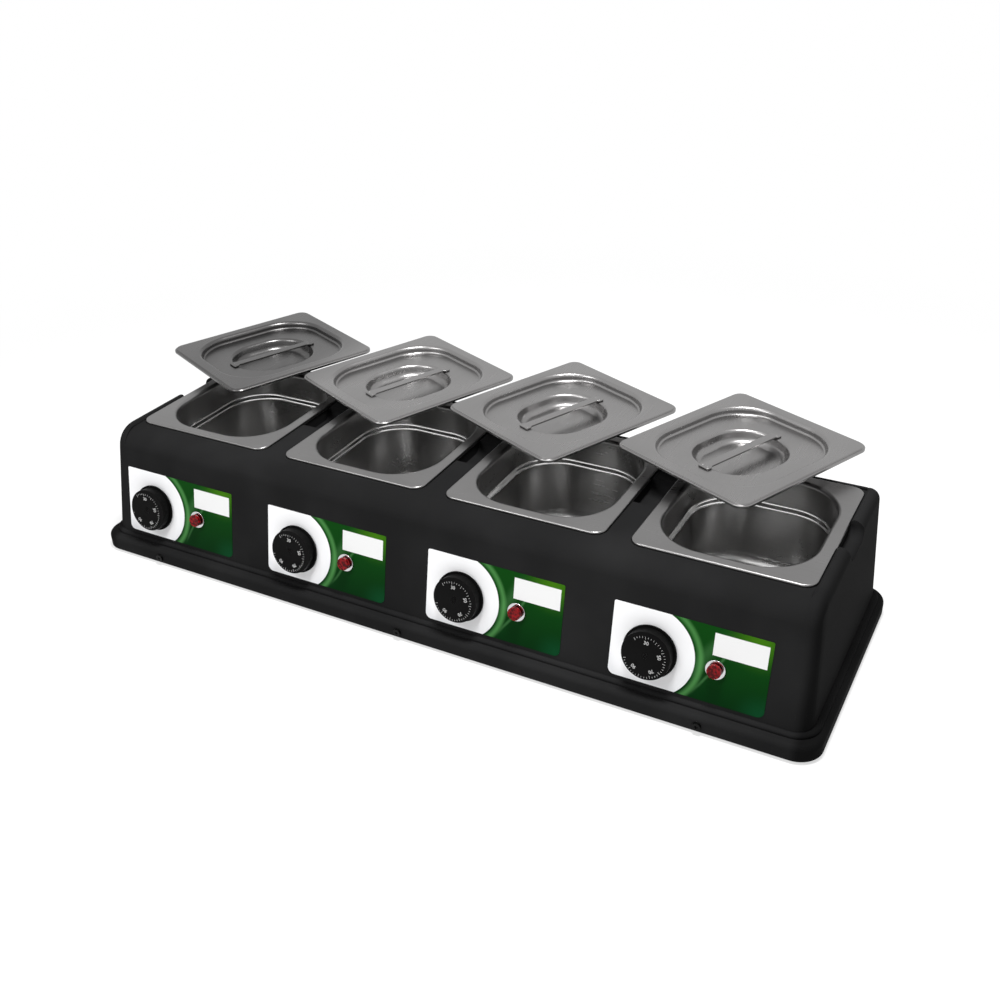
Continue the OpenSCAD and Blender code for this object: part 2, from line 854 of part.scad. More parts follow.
// Aluminium tub round a pan, hung from the bosses under the deck
module heated_well(i) {
    outer = well_gap + well_t;
    top = well_top_z - rim_height;
    inner_points = basin_outline(well_gap, top);
    last = len(inner_points) - 1;
    color(aluminium)
        difference() {
            at_station(i, rim_height) {
                sweep_round(basin_half_w, basin_half_l, basin_corner)
                    polygon(concat(basin_outline(outer, top), [for (k = [0:last]) inner_points[last - k]]));
                basin_floor(outer, well_gap);
                translate([0, 0, top - well_t])
                    linear_extrude(well_t)
                        difference() {
                            rounded_plate(basin_half_w + outer + 3, well_flange_l, 8);
                            rounded_plate(basin_half_w + outer, basin_half_l + outer, basin_corner + outer);
                        }
            }
            boss_positions(i)
                translate([0, 0, well_top_z - 2 * well_t])
                    cylinder(h = 3 * well_t, d = screw_d);
        }
}

module well_screws() {
    head_t = 2;
    color(chrome)
        for (i = stations)
            boss_positions(i)
                translate([0, 0, well_top_z - well_t - head_t]) {
                    cylinder(h = head_t, d = 7);
                    cylinder(h = head_t + well_t + boss_h - 2, d = screw_d - 2 * screw_clear - 2 * running_gap);
                }
}

// Silicone heating mat under a well's floor, with its cable box
module heating_mat(i) {
    z = rim_height - pan_depth - well_gap - well_t;
    flat = basin_corner - pan_floor_r + 4;
    color([0.75, 0.3, 0.12])
        at_station(i, z - heater_t) {
            linear_extrude(heater_t)
                rounded_plate(basin_half_w - flat, basin_half_l - flat, 12);
            translate([0, -basin_half_l + flat + 14, -3])
                linear_extrude(3.2)
                    rounded_plate(9, 6, 2);
        }
}

module panel_outline() {
    foot_r = 6;
    head_r = 1.5;
    half = panel_w / 2;
    translate([-half, foot_r])
        square([panel_w, panel_h - foot_r - head_r]);
    translate([-half + foot_r, 0])
        square([panel_w - 2 * foot_r, foot_r]);
    translate([-half + head_r, panel_h - head_r])
        square([panel_w - 2 * head_r, head_r]);
    for (s = [-1, 1]) {
        translate([s * (half - foot_r), foot_r])
            circle(foot_r);
        translate([s * (half - head_r), panel_h - head_r])
            circle(head_r);
    }
}

// Printed panel on the front face, with the shaft, screw and lamp holes
module control_panel(i) {
    knob_x = knob_shift - panel_shift;
    lamp_x = lamp_shift - panel_shift;
    color(green)
        on_front(station_x(i) + panel_shift, panel_top + panel_h)
            translate([0, 0, fit_gap])
                linear_extrude(panel_t)
                    difference() {
                        panel_outline();
                        translate([0, panel_h - control_drop]) {
                            translate([knob_x, 0])
                                circle(d = shaft_hole_d);
                            for (s = [-1, 1])
                                translate([knob_x + s * thermo_screw_x, 0])
                                    circle(d = screw_d + screw_clear);
                            translate([lamp_x, 0])
                                circle(d = lamp_shank_d + screw_clear);
                        }
                    }
}

module on_knob_axis(i) {
    on_front(station_x(i) + knob_shift, panel_top + control_drop)
        children();
}

module on_lamp_axis(i) {
    on_front(station_x(i) + lamp_shift, panel_top + control_drop)
        children();
}

thermo_back = wall_back - thermo_plate_t - thermo_d;

module thermostat(i) {
    color([0.82, 0.8, 0.74])
        on_knob_axis(i)
            difference() {
                union() {
                    translate([-thermo_w / 2, -thermo_h / 2, thermo_back])
                        cube([thermo_w, thermo_h, thermo_d]);
                    translate([0, 0, wall_back - thermo_plate_t])
                        linear_extrude(thermo_plate_t)
                            rounded_plate(thermo_w / 2 + 2, thermo_h / 2, 3);
                    translate([0, 0, wall_back])
                        cylinder(h = panel_face + 0.5 - wall_back, d = neck_d);
                    for (s = [-1, 1])
                        translate([s * thermo_w / 4 - 0.4, -3, thermo_back - 8])
                            cube([0.8, 6.3, 9]);
                }
                translate([0, 0, -wall_t - 9])
                    cylinder(h = 20, d = shaft_d + 2 * running_gap);
                for (s = [-1, 1])
                    translate([s * thermo_screw_x, 0, -wall_t - 6])
                        cylinder(h = 10, d = screw_d + 2 * running_gap);
            }
}

module thermostat_screws() {
    head_t = 2;
    color(chrome)
        for (i = stations)
            on_knob_axis(i)
                for (s = [-1, 1])
                    translate([s * thermo_screw_x, 0, 0]) {
                        translate([0, 0, panel_face])
                            cylinder(h = head_t, d = 7);
                        translate([0, 0, -wall_t - 5])
                            cylinder(h = wall_t + 5 + panel_face + 1, d = screw_d);
                    }
}

// Flat that keys the knob to its shaft
module shaft_section(g) {
    difference() {
        circle(d = shaft_d + 2 * g);
        translate([shaft_d / 4 + g, -shaft_d])
            square([shaft_d, 2 * shaft_d]);
    }
}

knob_low = panel_face + knob_lift;
shaft_top = knob_low + knob_h - knob_face_t - 0.5;

module thermostat_shaft(i) {
    key_z = knob_low - 0.3;
    color(chrome)
        on_knob_axis(i) {
            translate([0, 0, -wall_t - 8.5])
                cylinder(h = wall_t + 8.5 + key_z, d = shaft_d);
            translate([0, 0, key_z - 0.5])
                linear_extrude(shaft_top - key_z + 0.5)
                    shaft_section(0);
        }
}

// Round dial knob: hollow skirt, central hub and a dished face with a rounded edge
module knob(i) {
    r = knob_d / 2;
    edge = 2;
    dish = 0.6;
    color(black)
        on_knob_axis(i)
            translate([0, 0, knob_low])
                difference() {
                    rotate_extrude() {
                        difference() {
                            union() {
                                polygon([
                                    [0, 0], [r, 0], [r - 0.8, knob_h - edge],
                                    [r - 0.8 - edge, knob_h], [0, knob_h]
                                ]);
                                translate([r - 0.8 - edge, knob_h - edge])
                                    circle(edge);
                            }
                            translate([0, knob_h - dish])
                                square([r - edge - 2.5, 2 * dish]);
                            translate([hub_d / 2, -past])
                                square([r - knob_wall - hub_d / 2, knob_h - knob_face_t + past]);
                        }
                    }
                    translate([0, 0, -past])
                        linear_extrude(knob_h - knob_face_t + past)
                            shaft_section(running_gap / 2);
                }
}

// Bulb on the well's wall, joined to the thermostat's side by a bent tube
module sensor(i) {
    axis = panel_top + control_drop;
    z = rim_height - axis * cos(front_tilt);
    start_x = knob_shift + thermo_w / 2;
    start_y = front_face_y(z) + (wall_t + thermo_plate_t + thermo_d / 2) / cos(front_tilt);
    wall_y = pan_y - (basin_half_l - basin_corner)
        - basin_reach(z - rim_height, well_gap + well_t);
    bulb_y = wall_y - sensor_d / 2 - seat_gap;
    first_bend_x = start_x + 4;
    run = bulb_y - start_y - 2 * capillary_bend;
    bulb_x = first_bend_x + 2 * capillary_bend + 6;
    r = capillary_d / 2;
    color([0.72, 0.5, 0.3])
        translate([station_x(i), 0, z]) {
            translate([start_x, start_y, 0])
                rotate([0, 90, 0])
                    cylinder(h = 4, r = r);
            translate([first_bend_x, start_y + capillary_bend, 0])
                rotate([0, 0, -90])
                    rotate_extrude(angle = 90)
                        translate([capillary_bend, 0])
                            circle(r);
            translate([first_bend_x + capillary_bend, start_y + capillary_bend, 0])
                rotate([-90, 0, 0])
                    cylinder(h = run, r = r);
            translate([first_bend_x + 2 * capillary_bend, bulb_y - capillary_bend, 0])
                rotate([0, 0, 90])
                    rotate_extrude(angle = 90)
                        translate([capillary_bend, 0])
                            circle(r);
            translate([first_bend_x + 2 * capillary_bend, bulb_y, 0])
                rotate([0, 90, 0])
                    cylinder(h = 7, r = r);
            translate([bulb_x, bulb_y, 0])
                rotate([0, 90, 0])
                    cylinder(h = sensor_l, d = sensor_d);
        }
}

module lamp_bezel(i) {
    bevel = 1.2;
    r = bezel_d / 2;
    color(chrome)
        on_lamp_axis(i) {
            translate([0, 0, panel_face])
                rotate_extrude()
                    polygon([
                        [0, 0], [r, 0], [r, bezel_h - bevel], [r - bevel, bezel_h],
                        [lens_d / 2 + play / 2, bezel_h], [lens_d / 2 + play / 2, lens_seat], [0, lens_seat]
                    ]);
            translate([0, 0, -lamp_shank_l])
                cylinder(h = lamp_shank_l + panel_face + 1, d = lamp_shank_d);
            for (s = [-1, 1])
                translate([s * 3 - 0.4, -1.4, -lamp_shank_l - 7])
                    cube([0.8, 2.8, 7.5]);
        }
}

// Faceted lens that sits in its bezel
module lamp_lens(i) {
    color(red)
        on_lamp_axis(i)
            translate([0, 0, panel_face + lens_seat]) {
                cylinder(h = bezel_h - lens_seat - 1.5, d = lens_d);
                translate([0, 0, bezel_h - lens_seat - 1.5])
                    cylinder(h = 2, d1 = lens_d - 0.4, d2 = lens_d * 0.55, $fn = 12);
            }
}

module lamp_nuts() {
    color(chrome)
        for (i = stations)
            on_lamp_axis(i)
                translate([0, 0, wall_back - lamp_nut_t])
                    difference() {
                        cylinder(h = lamp_nut_t, d = lamp_shank_d + 7, $fn = 6);
                        translate([0, 0, -past])
                            cylinder(h = lamp_nut_t + 2 * past, d = lamp_shank_d + 2 * running_gap);
                    }
}

// Terminal block on the base plate beside the cord inlet
module terminal_block() {
    ways = 5;
    color([0.9, 0.88, 0.82])
        translate([gland_x - 60, rear_y - 34, plate_top])
            difference() {
                translate([-block_w / 2, -block_l / 2, 0])
                    cube([block_w, block_l, block_h]);
                for (k = [0:ways - 1])
                    translate([(k - (ways - 1) / 2) * block_w / ways, 0, 0]) {
                        translate([0, 0, block_h - 5])
                            cylinder(h = 6, d = 4.5);
                        translate([0, block_l / 2 + past, block_h - 8])
                            rotate([90, 0, 0])
                                cylinder(h = block_l + 2 * past, d = 3.4);
                    }
            }
}

// Cord inlet: a hexagon and a rounded cap outside, a hollow shank through the wall
module cord_gland() {
    hex_h = 6;
    cap_h = 11;
    shank_l = 14;
    color(black)
        gland_place()
            difference() {
                union() {
                    cylinder(h = hex_h, r = gland_hex_r, $fn = 6);
                    rotate_extrude() {
                        translate([0, hex_h - 1])
                            square([10, cap_h - 3]);
                        translate([0, hex_h + cap_h - 5])
                            square([6, 5]);
                        translate([6, hex_h + cap_h - 4])
                            intersection() {
                                circle(4);
                                square([4, 4]);
                            }
                    }
                    translate([0, 0, -shank_l])
                        cylinder(h = shank_l + 1, r = gland_shank_r);
                }
                translate([0, 0, -shank_l - past])
                    cylinder(h = shank_l + hex_h + cap_h + 2 * past, r = gland_bore_r);
            }
}

module gland_nut() {
    color(black)
        gland_place()
            translate([0, 0, -gland_seat - gland_nut_t])
                difference() {
                    cylinder(h = gland_nut_t, r = gland_hex_r, $fn = 6);
                    translate([0, 0, -past])
                        cylinder(h = gland_nut_t + 2 * past, r = gland_shank_r + running_gap);
                }
}

housing();
base_plate();
rubber_feet();
skirt_screws();
for (i = stations) {
    pan(i);
    lid(i);
    lid_handle(i);
    heated_well(i);
    heating_mat(i);
    control_panel(i);
    thermostat(i);
    thermostat_shaft(i);
    knob(i);
    sensor(i);
    lamp_bezel(i);
    lamp_lens(i);
}
well_screws();
thermostat_screws();
lamp_nuts();
terminal_block();
cord_gland();
gland_nut();
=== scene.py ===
import json
import math

import bpy
from mathutils import Matrix, Vector


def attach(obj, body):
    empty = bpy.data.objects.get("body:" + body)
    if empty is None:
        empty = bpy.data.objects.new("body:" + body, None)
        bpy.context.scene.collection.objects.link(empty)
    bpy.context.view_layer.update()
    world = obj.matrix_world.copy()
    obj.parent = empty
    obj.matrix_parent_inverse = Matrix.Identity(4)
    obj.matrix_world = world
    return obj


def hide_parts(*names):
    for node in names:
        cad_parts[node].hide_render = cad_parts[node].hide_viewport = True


# Four-station chocolate warmer: black moulded housing, four stainless pans, four lids set askew
# on the pans' rear rims, and a green control panel with a dial knob and pilot lamp per station.

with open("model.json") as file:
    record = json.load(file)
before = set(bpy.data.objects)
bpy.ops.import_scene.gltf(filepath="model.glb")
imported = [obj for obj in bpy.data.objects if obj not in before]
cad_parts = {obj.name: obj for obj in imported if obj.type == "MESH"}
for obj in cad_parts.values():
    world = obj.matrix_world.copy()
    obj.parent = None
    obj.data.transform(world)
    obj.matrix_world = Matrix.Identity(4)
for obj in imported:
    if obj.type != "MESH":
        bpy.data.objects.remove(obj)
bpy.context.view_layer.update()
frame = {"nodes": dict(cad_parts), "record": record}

MM = 0.001
STATIONS = (1, 2, 3, 4)

# Places shared with the solids, in metres
PITCH = 185.8 * MM
PAN_Y = 19.3793 * MM
RIM_Z = 133.0 * MM
TILT = math.radians(11.25)
FRONT_Y = -93.5207 * MM
PANEL_LEFT = -77.3 * MM
PANEL_DROP = 39.4 * MM
PANEL_FACE = 0.45 * MM
CONTROL_DROP = 77.2 * MM
KNOB_SHIFT = -40.7 * MM
LAMP_SHIFT = 17.1 * MM
LID_TURN = math.radians(-24.0)
LID_TOP = RIM_Z + 21 * MM
LID_SHIFT = Vector((-42.0 * MM, 89.5 * MM, 0))
LAST_LID_SHIFT = Vector((-38.5 * MM, 86.0 * MM, 0))
BAR_DROP = 8 * MM
LENS_LIFT = 2.9 * MM
KNOB_LIFT = 1.2 * MM

# Bands of tone, in metres from the row's middle and up from the table: painted shade on the end walls and
# on the first lid, the pans' walls painted lighter than their rims, and a painted highlight on the pans'
# step
END_WALL_X = 370 * MM
END_WALL_BLUR = 10 * MM
FIRST_LID_X = -240 * MM
FIRST_LID_BLUR = 100 * MM
RIM_FACE_Z = RIM_Z - 2.5 * MM
RIM_FACE_BLUR = 2 * MM
SHOULDER_Z = RIM_Z - 32 * MM
SHOULDER_HALF = 2.4 * MM
SHOULDER_BLUR = 1.6 * MM
SHOULDER_SPAN = 4 * MM
SHOULDER_ROUND = 1.6 * MM


def station_x(i):
    middle = (STATIONS[0] + STATIONS[-1]) / 2
    return (i - middle) * PITCH


def front_matrix(x, drop):
    """From a control's own axes (Z out of the sloping front, Y up the slope) to the row frame."""
    place = Vector((x, FRONT_Y - drop * math.sin(TILT), RIM_Z - drop * math.cos(TILT)))
    return Matrix.Translation(place) @ Matrix.Rotation(math.pi / 2 - TILT, 4, "X")


def lid_matrix(i):
    shift = LAST_LID_SHIFT if i == STATIONS[-1] else LID_SHIFT
    centre = Vector((station_x(i), PAN_Y, LID_TOP)) + shift
    return Matrix.Translation(centre) @ Matrix.Rotation(LID_TURN, 4, "Z")


# Materials


class Wire:
    """A value that varies over a surface. Python's operators on it add the Math nodes."""

    def __init__(self, finish, socket):
        self.finish = finish
        self.socket = socket

    def maths(self, operation, *values):
        return self.finish.node("ShaderNodeMath", {"operation": operation}, values)

    def __add__(self, other):
        return self.maths("ADD", self, other)

    def __sub__(self, other):
        return self.maths("SUBTRACT", self, other)

    def __rsub__(self, other):
        return self.maths("SUBTRACT", other, self)

    def __mul__(self, other):
        return self.maths("MULTIPLY", self, other)

    def __truediv__(self, other):
        return self.maths("DIVIDE", self, other)

    def __pow__(self, other):
        return self.maths("POWER", self, other)

    __radd__ = __add__
    __rmul__ = __mul__

    def root(self):
        return self.maths("SQRT", self)

    def size(self):
        return self.maths("ABSOLUTE", self)

    def wrapped(self, length):
        return self.maths("FLOORED_MODULO", self, length)

    def most(self, other):
        return self.maths("MAXIMUM", self, other)

    def step(self, edge, blur):
        """0 below the edge, 1 above it, blended over the blur width."""
        return self.finish.node(
            "ShaderNodeMapRange",
            {"interpolation_type": "SMOOTHSTEP"},
            (self, edge - blur / 2, edge + blur / 2, 0.0, 1.0),
        )


class Finish:
    """A material: a Principled shader whose varying inputs come from nodes on Object coordinates."""

    def __init__(self, name, colour, roughness, metallic=0.0, **fixed):
        self.material = bpy.data.materials.new(name)
        self.material.use_nodes = True
        self.tree = self.material.node_tree
        self.shader = self.tree.nodes["Principled BSDF"]
        self.material.diffuse_color = (*colour, 1)
        self.set("Base Color", (*colour, 1))
        self.set("Roughness", roughness)
        self.set("Metallic", metallic)
        for key, value in fixed.items():
            self.set(key.replace("_", " ").title().replace("Ior", "IOR"), value)
        self.place = self.node("ShaderNodeTexCoord", out="Object")

    def set(self, key, value):
        socket = self.shader.inputs[key]
        if isinstance(value, Wire):
            self.tree.links.new(value.socket, socket)
        else:
            socket.default_value = value

    def node(self, kind, settings=None, values=(), out=0):
        made = self.tree.nodes.new(kind)
        for key, value in (settings or {}).items():
            setattr(made, key, value)
        pairs = values.items() if isinstance(values, dict) else enumerate(values)
        for key, value in pairs:
            if isinstance(value, Wire):
                self.tree.links.new(value.socket, made.inputs[key])
            elif value is not None:
                made.inputs[key].default_value = value
        return Wire(self, made.outputs[out])

    def axes(self):
        """The place on the object as three wires: across the row, back and up, in metres."""
        across = self.node("ShaderNodeSeparateXYZ", values=(self.place,))
        outputs = across.socket.node.outputs
        return across, Wire(self, outputs["Y"]), Wire(self, outputs["Z"])

    def noise(self, scale, detail=2.0, stretch=(1, 1, 1), rough=0.5):
        spot = self.node("ShaderNodeMapping", values={"Vector": self.place, "Scale": stretch})
        values = {"Vector": spot, "Scale": scale, "Detail": detail, "Roughness": rough}
        return self.node("ShaderNodeTexNoise", values=values)

    def blend(self, factor, low, high):
        """Mixes two colours, given as RGB or as wires."""
        low = low if isinstance(low, Wire) else (*low, 1)
        high = high if isinstance(high, Wire) else (*high, 1)
        return self.node("ShaderNodeMix", {"data_type": "RGBA"}, {0: factor, 6: low, 7: high}, out=2)

    def bump(self, height, depth, strength=1.0):
        """Depth is in metres for a height that runs from 0 to 1."""
        values = {"Strength": strength, "Distance": depth, "Height": height}
        self.set("Normal", self.node("ShaderNodeBump", values=values))


NOTHING = (0.0, 0.0, 0.0)


def moulded_black(name, colour, roughness, grain, level, ends=1.0):
    """Moulded plastic: fine grain, faint flow marks, and a slight polish where it varies.

    Ends is the tone of the two end walls against the rest: painted shade that darkens them."""
    finish = Finish(name, colour, roughness, specular_ior_level=level)
    fine = finish.noise(grain, 2.0)
    cloud = finish.noise(9.0, 3.0)
    paler = tuple(c * 1.7 + 0.002 for c in colour)
    tone = finish.blend(cloud.step(0.55, 0.35) * 0.6 + fine * 0.3, colour, paler)
    # Painted shade: the two end walls, beyond END_WALL_X, are darkened towards black.
    if ends < 1.0:
        x, y, z = finish.axes()
        tone = finish.blend(x.size().step(END_WALL_X, END_WALL_BLUR) * (1.0 - ends), tone, NOTHING)
    finish.set("Base Color", tone)
    finish.set("Roughness", roughness - 0.06 + cloud * 0.1 + fine * 0.06)
    finish.bump(fine, 0.00006, 0.55)
    return finish.material


def drawn_steel(name, colour, roughness, stretch, streak_depth, wall=None, shoulder_highlight=None, left=1.0):
    """Pressed stainless sheet: fine rolling streaks one way, and soft clouding.

    Wall is the drawn wall's colour under the rim, painted lighter than the rim as painted light inside the
    pan.
    Shoulder is that of its step: a bright band that is a painted highlight, where the step is also
    polished.
    Left is the tone of the row's first piece against the rest: painted shade at the row's left end."""
    finish = Finish(name, colour, roughness, 1.0)
    streaks = finish.noise(620.0, 3.0, stretch, 0.6)
    clouds = finish.noise(14.0, 2.0)
    x, y, z = finish.axes()
    sheet = colour
    polish = 0.0
    if wall:
        # Painted light: the bright band at the step is a painted highlight, and the wall below the rim
        # face is painted lighter than the rim.
        at_shoulder = 1.0 - (z - SHOULDER_Z).size().step(SHOULDER_HALF, SHOULDER_BLUR)
        polish = at_shoulder * 0.16
        drawn = finish.blend(at_shoulder, wall, shoulder_highlight)
        sheet = finish.blend(z.step(RIM_FACE_Z, RIM_FACE_BLUR), drawn, colour)
    # Painted shade: the steel darkens towards the row's left end, over the first lid.
    if left < 1.0:
        darker = tuple(c * left for c in colour)
        sheet = finish.blend(x.step(FIRST_LID_X, FIRST_LID_BLUR), darker, colour)
    worn = clouds.step(0.5, 0.5) * 0.1 + streaks * 0.1
    finish.set("Base Color", finish.blend(worn, sheet, NOTHING))
    finish.set("Roughness", roughness - 0.08 + streaks * 0.1 + clouds * 0.1 - polish)
    finish.bump(streaks, streak_depth, 0.4)
    return finish.material


# The panel's print, in millimetres across it from its left edge and down it from its top edge
PRINT_HEIGHT = 70.0
DIAL_SPOT = (34.0, 38.0)
DIAL_FIELD_R = 42.0
DIAL_FIELD_EDGE = 32.0
HALO_R = 47.0
PLATE_ACROSS = (90.0, 136.0)
PLATE_DOWN = (5.0, 25.5)
LIGHT_CORNER = (128.0, 2.0)
LIGHT_FOOT = (137.0, 72.0)
SWEEP_SPOT = (92.0, 36.0)
SWEEP_REACH = (30.0, 38.73)
BROAD_SWEEP = 108.0
NARROW_SWEEP = 122.0
SWEEP_SLANT = 0.62
CRISP = 0.3
SWEEP_GREEN = (0.12, 0.36, 0.12)


def distance(across, down, spot):
    return ((across - spot[0]) ** 2.0 + (down - spot[1]) ** 2.0).root()


def between(wire, span):
    """1 inside the span and 0 outside it, with crisp ends."""
    return wire.step(span[0], CRISP) * (1.0 - wire.step(span[1], CRISP))


def printed_panel():
    """Panel print: white dial field, deep green ground with soft slanting sweeps, bare white plate."""
    finish = Finish("printed panel", (0.01, 0.12, 0.02), 0.3, specular_ior_level=0.025)
    x, y, z = finish.axes()
    across = (x - (station_x(1) + PANEL_LEFT)).wrapped(PITCH) / MM
    down = ((RIM_Z - z) / math.cos(TILT) - PANEL_DROP) / MM
    share = down / PRINT_HEIGHT
    reach = distance(across, down, DIAL_SPOT)
    soft = finish.noise(24.0, 1.5)

    ground = finish.blend(share.step(0.55, 1.1), (0.003, 0.045, 0.004), (0.0006, 0.022, 0.003))
    corner = distance(across, down, LIGHT_CORNER)
    ground = finish.blend((1.0 - corner.step(16.0, 34.0)) * 0.75, ground, (0.05, 0.17, 0.004))
    foot = distance(across, down, LIGHT_FOOT)
    ground = finish.blend((1.0 - foot.step(14.0, 26.0)) * 0.6, ground, (0.003, 0.06, 0.02))

    slant = across + down * SWEEP_SLANT + soft * 9.0
    broad = 1.0 - (slant - BROAD_SWEEP).size().step(5.0, 10.0)
    narrow = 1.0 - (slant - NARROW_SWEEP).size().step(1.2, 2.4)
    sideways = (across - SWEEP_SPOT[0]) / SWEEP_REACH[0]
    lengthwise = (down - SWEEP_SPOT[1]) / SWEEP_REACH[1]
    fade = 1.0 - (sideways ** 2.0 + lengthwise ** 2.0).step(0.55, 1.0)
    ground = finish.blend((broad * 0.14 + narrow * 0.24) * fade, ground, SWEEP_GREEN)

    halo = (1.0 - (reach - HALO_R).size().step(2.2, 4.4)) * 0.42
    ground = finish.blend(halo, ground, (0.11, 0.36, 0.1))

    field = (1.0 - reach.step(DIAL_FIELD_R, 0.35)).most(1.0 - across.step(DIAL_FIELD_EDGE, CRISP))
    shade = reach.step(36.0, 14.0) * share.step(0.6, 0.5)
    white = finish.blend(shade * 0.5, (0.8, 0.8, 0.81), (0.55, 0.56, 0.58))
    print_colour = finish.blend(field, ground, white)

    plate = between(across, PLATE_ACROSS) * between(down, PLATE_DOWN)
    print_colour = finish.blend(plate, print_colour, (0.7, 0.7, 0.7))
    finish.set("Base Color", print_colour)
    finish.set("Roughness", 0.26 + soft * 0.08 + plate * 0.12)
    finish.bump(finish.noise(900.0, 1.0), 0.00003, 0.25)
    return finish.material


def lamp_red():
    """Clear red moulding, deeper and clearer in small patches."""
    finish = Finish("red lamp lens", (0.12, 0.001, 0.002), 0.2, specular_ior_level=0.12)
    cells = finish.noise(420.0, 1.0)
    deep, clear = (0.045, 0.0006, 0.0012), (0.2, 0.003, 0.005)
    finish.set("Base Color", finish.blend(cells.step(0.5, 0.3), deep, clear))
    finish.set("Roughness", 0.18 + cells * 0.08)
    return finish.material


def plated(name, colour, roughness):
    """Bright or plated metal with faint clouding."""
    finish = Finish(name, colour, roughness, 1.0)
    fine = finish.noise(260.0, 3.0)
    darker = tuple(c * 0.82 for c in colour)
    finish.set("Base Color", finish.blend(fine, darker, colour))
    finish.set("Roughness", roughness + fine * 0.08)
    finish.bump(fine, 0.00002, 0.2)
    return finish.material


def plain_stuff(name, colour, roughness, grain, variation, depth):
    """Rubber, silicone, painted sheet and light moulded plastic: mottled colour with a fine bump."""
    finish = Finish(name, colour, roughness)
    fine = finish.noise(grain, 3.0)
    cloud = finish.noise(22.0, 2.0)
    other = tuple(min(1.0, c * variation) for c in colour)
    finish.set("Base Color", finish.blend(fine * 0.5 + cloud * 0.5, colour, other))
    finish.set("Roughness", roughness - 0.05 + cloud * 0.1)
    finish.bump(fine, depth, 0.5)
    return finish.material


ALONG_X = (0.05, 1, 1)
ALONG_Y = (1, 0.05, 1)
STREAK_DEPTH = 0.003 * MM
finishes = {
    # The housing's end walls are darkened with painted shade.
    "black_plastic": moulded_black(
        "black moulded plastic", (0.0098, 0.0098, 0.01), 0.6, 1500.0, 0.006, ends=0.45),
    "knob_plastic": moulded_black("knob plastic", (0.0018, 0.0018, 0.0018), 0.42, 2600.0, 0.04),
    # The pans: walls painted lighter than the rims, and a painted highlight on the step.
    "pan_steel": drawn_steel(
        "drawn pan steel", (0.215, 0.212, 0.211), 0.28, ALONG_X, STREAK_DEPTH,
        wall=(0.33, 0.327, 0.325), shoulder_highlight=(0.97, 0.966, 0.96)),
    # The lids darken towards the row's left end with painted shade.
    "lid_steel": drawn_steel(
        "pressed lid steel", (0.27, 0.265, 0.264), 0.27, ALONG_Y, STREAK_DEPTH, left=0.42),
    "chrome": plated("chrome", (0.62, 0.62, 0.63), 0.1),
    "screw_steel": plated("zinc plate", (0.5, 0.5, 0.51), 0.25),
    "dark_screw": plated("blackened steel", (0.012, 0.012, 0.012), 0.38),
    "well_aluminium": plated("pressed aluminium", (0.62, 0.63, 0.64), 0.4),
    "sensor_copper": plated("copper tube", (0.6, 0.32, 0.2), 0.3),
    "lamp_red": lamp_red(),
    "panel_print": printed_panel(),
    "rubber": plain_stuff("foot rubber", (0.014, 0.014, 0.014), 0.8, 900.0, 1.8, 0.00008),
    "silicone": plain_stuff("silicone mat", (0.42, 0.11, 0.035), 0.6, 700.0, 1.3, 0.00006),
    "base_sheet": plain_stuff("black painted sheet", (0.02, 0.02, 0.021), 0.5, 1100.0, 1.6, 0.00004),
    "control_plastic": plain_stuff("light control plastic", (0.62, 0.58, 0.48), 0.5, 800.0, 1.15, 0.00004),
    "dial_print": plain_stuff("dial print", (0.42, 0.42, 0.42), 0.6, 900.0, 1.3, 0.00002),
}


def finish_with(thing, slot):
    thing.data.materials.clear()
    thing.data.materials.append(finishes[slot])
    for face in thing.data.polygons:
        face.material_index = 0


for row in frame["record"]["subparts"]:
    finish_with(frame["nodes"][row["node"]], row["material_slot"])


# Modelling


def deselect():
    if bpy.context.mode != "OBJECT":
        to_object()
    bpy.ops.object.select_all(action="DESELECT")


def pick(thing):
    deselect()
    thing.select_set(True)
    bpy.context.view_layer.objects.active = thing


def to_edit(select, mode):
    """Edit mode on the picked thing, with everything or nothing selected."""
    bpy.ops.object.mode_set(mode="EDIT")
    bpy.ops.mesh.select_mode(type=mode)
    bpy.ops.mesh.select_all(action=select)


def select_faces(thing, test):
    """Edit mode with just the faces selected whose centre and normal pass the test."""
    pick(thing)
    to_edit("DESELECT", "FACE")
    to_object()
    for face in thing.data.polygons:
        face.select = test(face.center, face.normal)
    bpy.ops.object.mode_set(mode="EDIT")


def to_object():
    bpy.ops.object.mode_set(mode="OBJECT")


def apply_modifiers(thing):
    pick(thing)
    for name in [m.name for m in thing.modifiers]:
        bpy.ops.object.modifier_apply(modifier=name)


def bevelled(thing, width, segments=3, angle=30):
    bevel = thing.modifiers.new("edges", "BEVEL")
    bevel.width = width
    bevel.segments = segments
    bevel.limit_method = "ANGLE"
    bevel.angle_limit = math.radians(angle)
    apply_modifiers(thing)


def smoothed(thing, angle=30):
    pick(thing)
    bpy.ops.object.shade_smooth_by_angle(angle=math.radians(angle))
    weighted = thing.modifiers.new("even normals", "WEIGHTED_NORMAL")
    weighted.keep_sharp = True
    apply_modifiers(thing)


def place_in_mesh(thing, matrix):
    """Moves the mesh, so that the object stays at the origin, unturned and unscaled."""
    thing.data.transform(matrix @ thing.matrix_basis)
    thing.matrix_basis = Matrix.Identity(4)


def joined(name, things):
    deselect()
    for thing in things:
        thing.select_set(True)
    bpy.context.view_layer.objects.active = things[0]
    if len(things) > 1:
        bpy.ops.object.join()
    things[0].name = name
    things[0].data.name = name
    return things[0]


def copied(thing, name, matrix):
    """A copy with its own mesh, moved by the matrix."""
    twin = thing.copy()
    twin.data = thing.data.copy()
    twin.name = name
    twin.data.name = name
    bpy.context.scene.collection.objects.link(twin)
    place_in_mesh(twin, matrix)
    return twin


